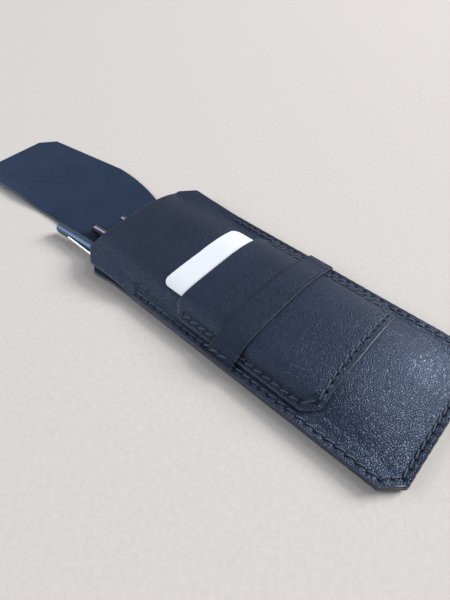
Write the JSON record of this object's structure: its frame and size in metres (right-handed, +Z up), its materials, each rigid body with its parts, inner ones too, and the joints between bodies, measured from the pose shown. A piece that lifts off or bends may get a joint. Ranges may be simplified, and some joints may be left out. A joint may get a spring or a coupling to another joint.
{
  "type": "pen case",
  "caption": "Flat leather pen case with a sewn front, a card pocket under a closing strap and a long folding flap, holding slim capped pens and a card.",
  "frame": {"origin": "middle of the back panel's flat underside, half way between the closed end and the mouth", "axes": "+X across the case, +Y from the closed end through the mouth towards the flap's free end, +Z up from the back to the front panel"},
  "size_m": [0.076, 0.293, 0.0146],
  "materials": {
    "flap_leather": "smooth matte",
    "grain_leather": "fine pebbled grain, slight sheen",
    "thread": "waxed",
    "card": "uncoated card stock",
    "blue_lacquer": "gloss",
    "black_lacquer": "gloss",
    "bright_metal": "polished"
  },
  "bodies": {
    "case": {"back_panel": "flap_leather", "front_panel": "grain_leather", "card_pocket": "grain_leather", "closing_strap": "grain_leather", "seam_thread_front": "thread", "seam_thread_back": "thread", "pocket_thread": "thread"},
    "flap_spine": {"flap_spine": "flap_leather"},
    "flap_tongue": {"flap_tongue": "flap_leather"},
    "card": {"visiting_card": "card"},
    "pen_left": {"pen_left_barrel": "black_lacquer", "pen_left_point": "bright_metal"},
    "pen_left_cap": {"pen_left_cap": "blue_lacquer", "pen_left_clip": "bright_metal"},
    "pen_middle": {"pen_middle_barrel": "black_lacquer", "pen_middle_point": "bright_metal"},
    "pen_middle_cap": {"pen_middle_cap": "black_lacquer", "pen_middle_clip": "bright_metal"},
    "pen_right": {"pen_right_barrel": "black_lacquer", "pen_right_point": "bright_metal"},
    "pen_right_cap": {"pen_right_cap": "black_lacquer", "pen_right_clip": "bright_metal"}
  },
  "joints": [
    {"name": "lower_fold", "type": "hinge", "parent": "case", "child": "flap_spine", "pos_m": [0, 0.121, 0.0014], "axis": [1, 0, 0], "range_deg": [0, 90]},
    {"name": "upper_fold", "type": "hinge", "parent": "flap_spine", "child": "flap_tongue", "pos_m": [0, 0.133, 0.0014], "axis": [1, 0, 0], "range_deg": [0, 90]},
    {"name": "card_slide", "type": "slide", "parent": "case", "child": "card", "axis": [0, -1, 0], "range_m": [-0.095, 0]},
    {"name": "pen_left_slide", "type": "slide", "parent": "case", "child": "pen_left", "axis": [0.0732, -0.9973, 0], "range_m": [-0.107, 0.012]},
    {"name": "pen_left_cap_pull", "type": "slide", "parent": "pen_left", "child": "pen_left_cap", "axis": [0.0732, -0.9973, 0], "range_m": [-0.055, 0]},
    {"name": "pen_middle_slide", "type": "slide", "parent": "case", "child": "pen_middle", "axis": [0.0558, -0.9984, 0], "range_m": [-0.122, 0.012]},
    {"name": "pen_middle_cap_pull", "type": "slide", "parent": "pen_middle", "child": "pen_middle_cap", "axis": [0.0558, -0.9984, 0], "range_m": [-0.055, 0]},
    {"name": "pen_right_slide", "type": "slide", "parent": "case", "child": "pen_right", "axis": [0.0419, -0.9991, 0], "range_m": [-0.129, 0.007]},
    {"name": "pen_right_cap_pull", "type": "slide", "parent": "pen_right", "child": "pen_right_cap", "axis": [0.0419, -0.9991, 0], "range_m": [-0.055, 0]}
  ]
}
